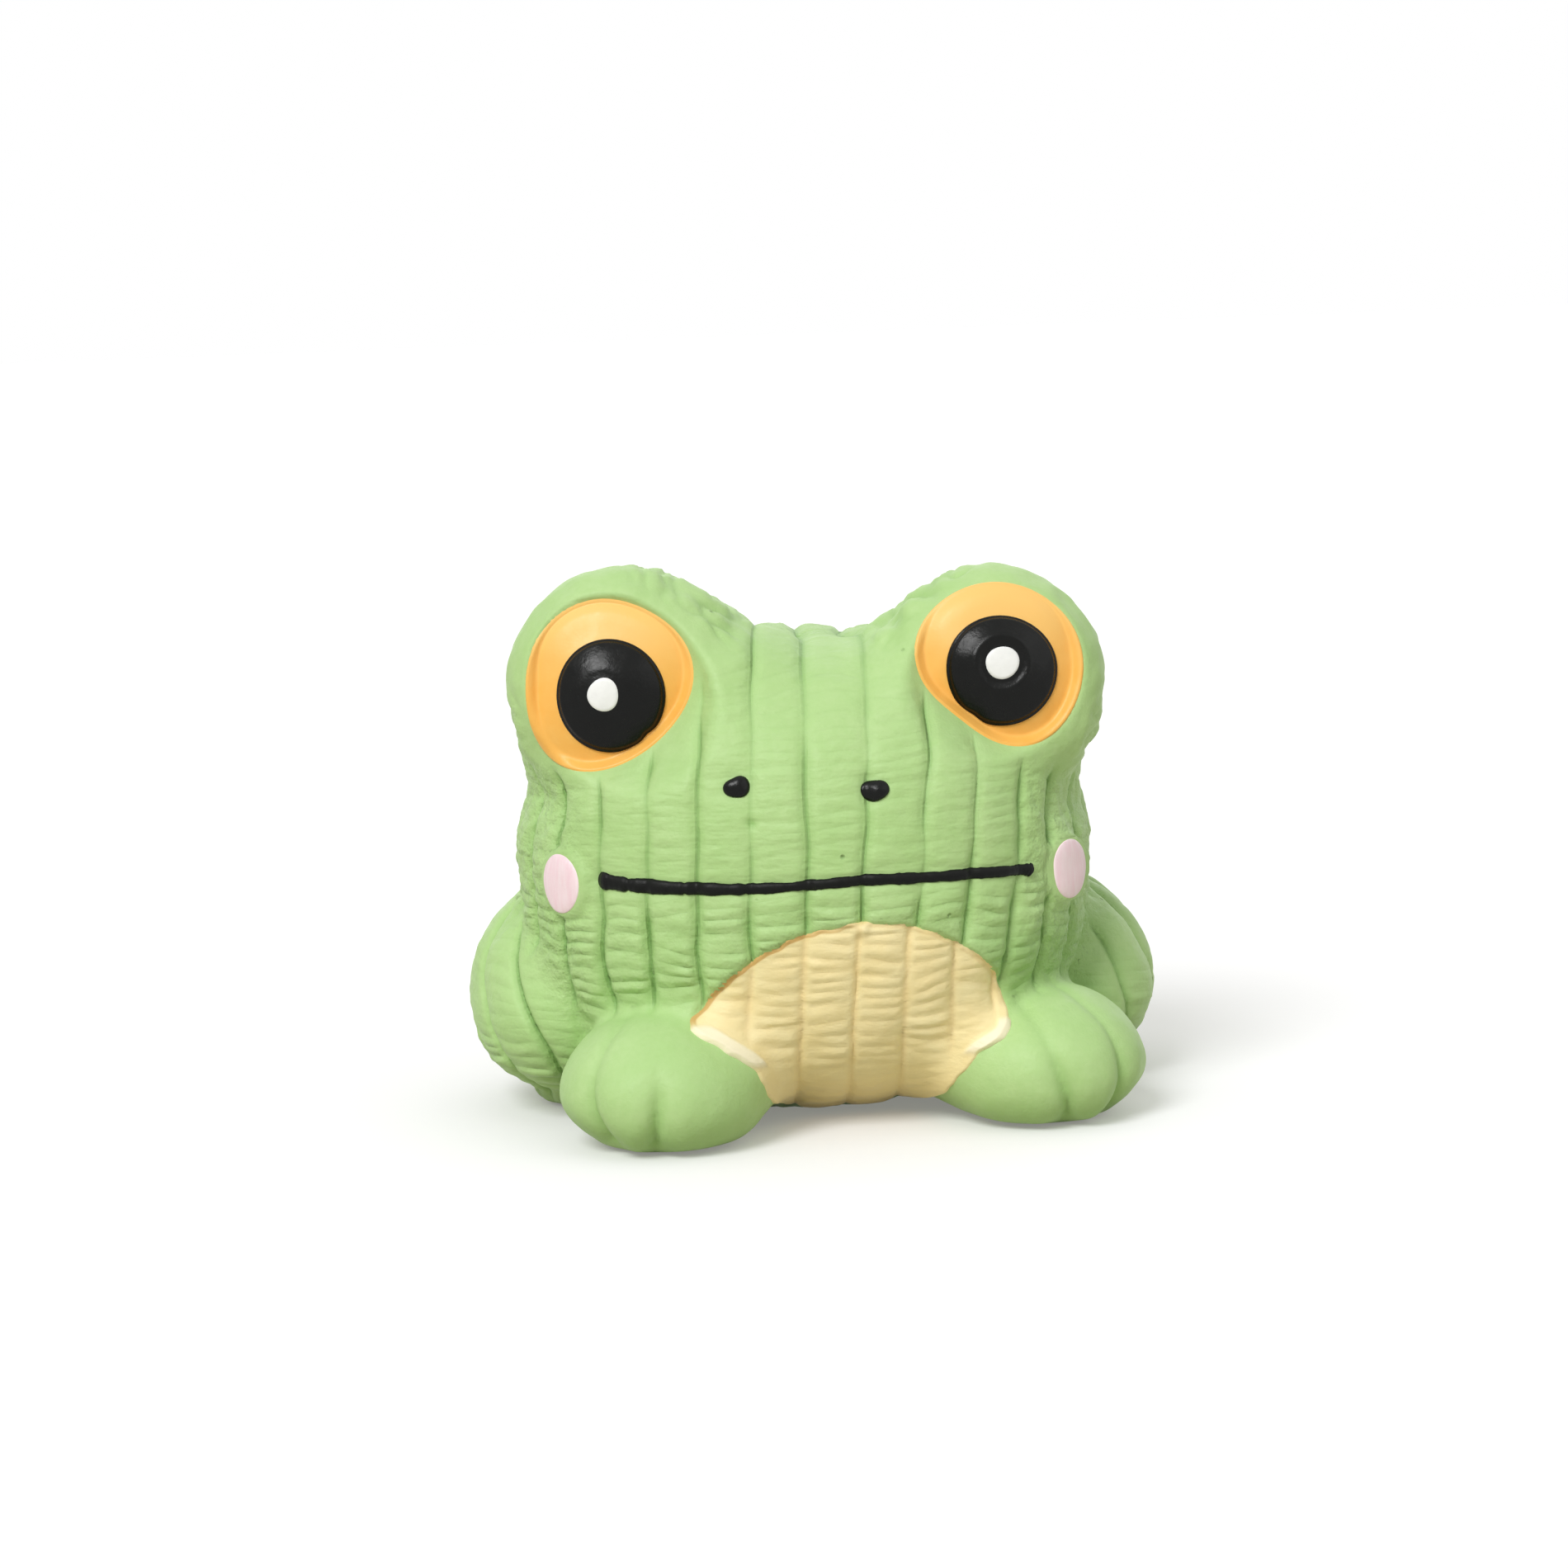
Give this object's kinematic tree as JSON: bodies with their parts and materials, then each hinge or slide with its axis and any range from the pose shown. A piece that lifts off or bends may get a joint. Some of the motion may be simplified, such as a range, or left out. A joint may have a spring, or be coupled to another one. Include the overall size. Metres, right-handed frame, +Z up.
{
  "type": "squeaky frog toy",
  "caption": "Squeaky latex frog toy: a ribbed hollow moulded body with bulging painted eyes, haunches, toed front feet, a fibre filling and a reed squeaker in its base.",
  "frame": {"origin": "on the surface the toy stands on, under the middle of its bounding box", "axes": "+Z up; the face looks along -Y; +X is the toy's own left, across the haunches, its longest way"},
  "size_m": [0.088, 0.0726, 0.0697],
  "materials": {
    "green_latex": "soft satin moulded latex with fine wrinkles",
    "white_fibre": "loose curled fibre wad",
    "sand_paint": "thick brushed latex paint, matt to satin",
    "amber_paint": "thick brushed latex paint, satin",
    "black_paint": "thick glossy latex paint",
    "white_paint": "dotted latex paint, satin",
    "pink_paint": "dabbed latex paint, satin",
    "white_plastic": "moulded polyethylene",
    "reed_film": "thin springy film"
  },
  "bodies": {
    "toy": {"latex_skin": "green_latex", "fibre_filling": "white_fibre", "belly_paint": "sand_paint", "mouth_paint": "black_paint", "left_iris_paint": "amber_paint", "right_iris_paint": "amber_paint", "left_pupil_paint": "black_paint", "right_pupil_paint": "black_paint", "left_highlight_paint": "white_paint", "right_highlight_paint": "white_paint", "left_nostril_paint": "black_paint", "right_nostril_paint": "black_paint", "left_cheek_paint": "pink_paint", "right_cheek_paint": "pink_paint", "squeaker_cup": "white_plastic", "reed_block": "white_plastic", "reed_wedge": "white_plastic"},
    "reed": {"reed_tongue": "reed_film"}
  },
  "joints": [
    {"name": "reed_flex", "type": "hinge", "parent": "toy", "child": "reed", "pos_m": [-0.00028, 0.00276, 0.0063], "axis": [1, 0, 0], "range_deg": [-4, 4], "stiffness_Nm_per_rad": 0.00002}
  ]
}
